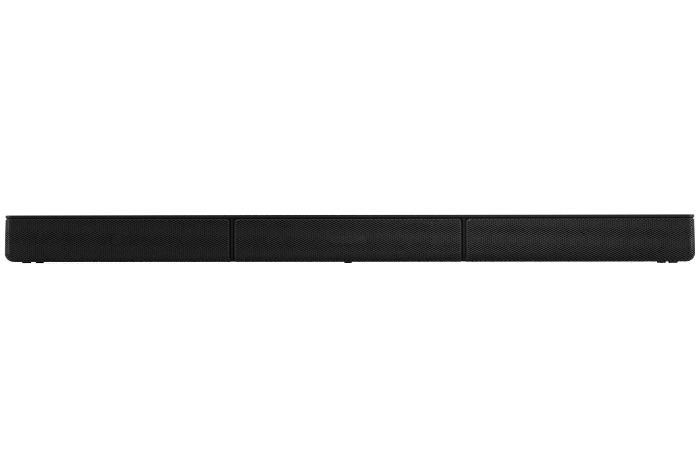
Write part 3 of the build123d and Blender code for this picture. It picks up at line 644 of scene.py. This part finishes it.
def make_grille(name, form, s_low, s_high, round_low, round_high, material):
    """One punched sheet with its thickness, in place of the CAD model's plain one."""
    flat, triangles, rims, border = flat_pattern(form, s_low, s_high, round_low, round_high)
    flat = np.array(flat)
    count = len(flat)
    outer = form.place(flat[:, 0], flat[:, 1], flat[:, 2])
    inner = form.place(flat[:, 0], flat[:, 1], np.full(count, SHEET))
    faces = [tuple(reversed(face)) for face in triangles]
    faces += [(a + count, b + count, c + count) for a, b, c in triangles]
    for loop in [*rims, border]:
        faces += [(a, b, b + count, a + count) for a, b in zip(loop, loop[1:] + loop[:1])]
    mesh = bpy.data.meshes.new(name)
    mesh.from_pydata(np.concatenate([outer, inner]).tolist(), [], faces)
    mesh.materials.append(material)
    mesh.polygons.foreach_set("use_smooth", [True] * len(mesh.polygons))
    mesh.set_sharp_from_angle(angle=SHARP_ANGLE)
    mesh.update()
    piece = bpy.data.objects.new(name, mesh)
    bpy.context.scene.collection.objects.link(piece)
    orient_outwards(piece)
    return piece


def make_grilles(material):
    """The three punched sheets. The outer two run round the ends of the bar."""
    form = BarForm()
    center_low, center_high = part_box("grille_center")
    left_high, right_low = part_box("grille_left")[1].x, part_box("grille_right")[0].x
    sections = (
        ("left", -form.end, left_high, False, True),
        ("center", center_low.x, center_high.x, True, True),
        ("right", right_low, form.end, True, False),
    )
    for side, s_low, s_high, round_low, round_high in sections:
        piece = make_grille(f"mesh_{side}", form, s_low, s_high, round_low, round_high, material)
        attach(piece, "cabinet")
        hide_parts(f"grille_{side}")


# ==== Key legends =================================================================================
def arc_points(radius, start, stop, count=24):
    """Points on an arc round the origin, with its angles in degrees from +X."""
    angles = np.radians(np.linspace(start, stop, count + 1))
    return [(radius * math.cos(a), radius * math.sin(a)) for a in angles]


def legend_strokes(size):
    """Each key's legend as plain lines: a broken ring, an arrow into a box, a minus, a plus, waves."""
    bar = [(-size * 0.8, 0), (size * 0.8, 0)]
    upright = [(0, -size * 0.8), (0, size * 0.8)]
    box_side = size * 0.85
    box_left = -0.2 * size
    bracket = [(box_left, box_side), (box_side, box_side), (box_side, -box_side), (box_left, -box_side)]
    return {
        "power": [arc_points(size, 125, 415), [(0, size * 0.25), (0, size * 1.1)]],
        "source": [
            bracket,
            [(-size, 0), (size * 0.35, 0)],
            [(-size * 0.1, size * 0.42), (size * 0.35, 0), (-size * 0.1, -size * 0.42)],
        ],
        "volume_down": [bar],
        "volume_up": [bar, upright],
        "pairing": [
            arc_points(size * share, start - 50, start + 50, 12)
            for share in (0.45, 1.0)
            for start in (0, 180)
        ],
    }


def stroke_mesh(points, width, height):
    """Vertices and faces of one line of the given width and height, in its own flat frame."""
    line = np.array(points)
    steps = np.diff(line, axis=0)
    steps /= np.linalg.norm(steps, axis=1)[:, None]
    turns = np.vstack([steps[:1], steps[:-1] + steps[1:], steps[-1:]])
    turns /= np.linalg.norm(turns, axis=1)[:, None]
    nearest = np.vstack([steps, steps[-1:]])
    side = np.stack([-turns[:, 1], turns[:, 0]], axis=1)
    reach = width / 2 / np.maximum(np.sum(turns * nearest, axis=1), 0.4)[:, None]
    rims = [line + side * reach, line - side * reach]
    tops = [line + side * reach * (1 - LEGEND_BEVEL), line - side * reach * (1 - LEGEND_BEVEL)]
    count = len(line)
    vertices = [(x, y, 0.0) for rim in rims for x, y in rim]
    vertices += [(x, y, height) for rim in tops for x, y in rim]
    faces = []
    foot_l, foot_r, top_l, top_r = 0, count, 2 * count, 3 * count
    for a in range(count - 1):
        b = a + 1
        faces.append((foot_l + a, foot_l + b, foot_r + b, foot_r + a))
        faces.append((top_l + a, top_r + a, top_r + b, top_l + b))
        faces.append((foot_l + a, top_l + a, top_l + b, foot_l + b))
        faces.append((foot_r + a, foot_r + b, top_r + b, top_r + a))
    for i in (0, count - 1):
        faces.append((foot_l + i, foot_r + i, top_r + i, top_l + i))
    return vertices, faces


def legend_ink():
    """Pale grey print, a little uneven."""
    n = Nodes("legend_ink")
    patch = n.noise(0.5 * MM)
    n.colour(n.mix(patch, grey(0.30), grey(0.38)))
    n.roughness(patch, 0.5, 0.65)
    n.bump(n.noise(0.08 * MM), 0.004 * MM)
    return n.material


def make_legends():
    """The key legends, printed on the cover in front of the keys."""
    ink = legend_ink()
    cover_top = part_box("power_button")[1].z - KEY_PROUD
    for name, strokes in legend_strokes(LEGEND_SIZE).items():
        low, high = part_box(f"{name}_button")
        mouth = low.y + KEY_LIP
        place = Vector(((low.x + high.x) / 2, mouth - LEGEND_GAP, cover_top))
        vertices, faces = [], []
        for points in strokes:
            more, more_faces = stroke_mesh(points, LEGEND_LINE, LEGEND_RISE)
            faces += [tuple(i + len(vertices) for i in face) for face in more_faces]
            vertices += [tuple(Vector(v) + place) for v in more]
        mesh = bpy.data.meshes.new(f"legend_{name}")
        mesh.from_pydata(vertices, [], faces)
        mesh.materials.append(ink)
        legend = bpy.data.objects.new(f"legend_{name}", mesh)
        bpy.context.scene.collection.objects.link(legend)
        orient_outwards(legend)
        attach(legend, "cabinet")


# ==== Studio ======================================================================================
def make_floor():
    """A round pale floor, level with the underside of the feet."""
    n = Nodes("studio_floor")
    n.shader.inputs["Specular IOR Level"].default_value = 0.1
    n.colour(n.mix(n.noise(0.4), grey(0.86), grey(0.88)))
    n.roughness(n.noise(0.02), 0.85, 0.95)
    n.bump(n.noise(0.01), 0.02 * MM)
    angles = [2 * math.pi * i / FLOOR_SIDES for i in range(FLOOR_SIDES)]
    rim = [(FLOOR_RADIUS * math.cos(a), FLOOR_RADIUS * math.sin(a), 0) for a in angles]
    mesh = bpy.data.meshes.new("studio_floor")
    mesh.from_pydata(rim, [], [tuple(range(FLOOR_SIDES))])
    mesh.materials.append(n.material)
    floor = bpy.data.objects.new("studio_floor", mesh)
    bpy.context.scene.collection.objects.link(floor)


def make_world():
    """Plain white to the camera. As light, it is bright behind and above the bar and dim in front."""
    world = bpy.data.worlds.new("studio")
    bpy.context.scene.world = world
    world.use_nodes = True
    tree = world.node_tree
    add, link = tree.nodes.new, tree.links.new
    background = tree.nodes["Background"]
    background.inputs["Color"].default_value = (1.0, 1.0, 1.0, 1.0)
    split = add("ShaderNodeSeparateXYZ")
    link(add("ShaderNodeTexCoord").outputs["Generated"], split.inputs[0])

    def ramp(socket, start, end):
        node = add("ShaderNodeMapRange")
        node.interpolation_type = "SMOOTHSTEP"
        node.inputs["From Min"].default_value = start
        node.inputs["From Max"].default_value = end
        link(socket, node.inputs["Value"])
        return node.outputs["Result"]

    def combine(operation, first, second):
        node = add("ShaderNodeMath")
        node.operation = operation
        for socket, value in zip(node.inputs, (first, second)):
            if isinstance(value, float):
                socket.default_value = value
            else:
                link(value, socket)
        return node.outputs[0]

    lit = combine("MAXIMUM", ramp(split.outputs["Y"], *BEHIND), ramp(split.outputs["Z"], *ABOVE))
    level = combine("ADD", combine("MULTIPLY", lit, SKY_LEVEL - FRONT_LEVEL), FRONT_LEVEL)
    seen = add("ShaderNodeMix")
    link(add("ShaderNodeLightPath").outputs["Is Camera Ray"], seen.inputs["Factor"])
    link(level, seen.inputs["A"])
    seen.inputs["B"].default_value = 1.0
    link(seen.outputs["Result"], background.inputs["Strength"])


def make_light(name, place, target, size, power):
    data = bpy.data.lights.new(name, "AREA")
    data.shape = "RECTANGLE"
    data.size, data.size_y = size
    data.energy = power
    light = bpy.data.objects.new(name, data)
    light.location = place
    light.rotation_mode = "QUATERNION"
    light.rotation_quaternion = (Vector(target) - Vector(place)).to_track_quat("-Z", "Y")
    bpy.context.scene.collection.objects.link(light)


def make_lights():
    """A soft key light in front, right of the middle, and a narrow strip past each end."""
    make_light("key", KEY_PLACE, KEY_TARGET, KEY_SIZE, KEY_POWER)
    for side, power in STRIP_POWERS:
        place, target = ((side * x, y, z) for x, y, z in (STRIP_PLACE, STRIP_TARGET))
        make_light("strip", place, target, STRIP_SIZE, power)


def make_camera():
    data = bpy.data.cameras.new("camera")
    data.lens, data.sensor_width = CAMERA_LENS, 36.0
    data.clip_start, data.clip_end = 0.05, 60.0
    camera = bpy.data.objects.new("camera", data)
    camera.location = (
        CAMERA_DISTANCE * math.sin(CAMERA_AZIMUTH),
        -CAMERA_DISTANCE * math.cos(CAMERA_AZIMUTH),
        CAMERA_HEIGHT,
    )
    heading = CAMERA_TURN - CAMERA_AZIMUTH
    forward = Vector(
        (
            math.sin(heading) * math.cos(CAMERA_PITCH),
            math.cos(heading) * math.cos(CAMERA_PITCH),
            math.sin(CAMERA_PITCH),
        )
    )
    camera.rotation_mode = "QUATERNION"
    turn = forward.to_track_quat("-Z", "Y").to_matrix() @ Matrix.Rotation(CAMERA_ROLL, 3, "Z")
    camera.rotation_quaternion = turn.to_quaternion()
    bpy.context.scene.collection.objects.link(camera)
    bpy.context.scene.camera = camera


# ==== The scene ===================================================================================
scene = bpy.context.scene
scene.view_settings.view_transform = "Standard"
# The mesh is as fine as a pixel: the denoiser and a wide pixel filter both smear it away.
scene.cycles.use_denoising = False
scene.cycles.filter_width = 0.9
make_camera()
make_floor()
make_world()
make_lights()

materials = make_materials()
paint_nodes(materials)
make_grilles(materials["grille_steel"])
make_legends()
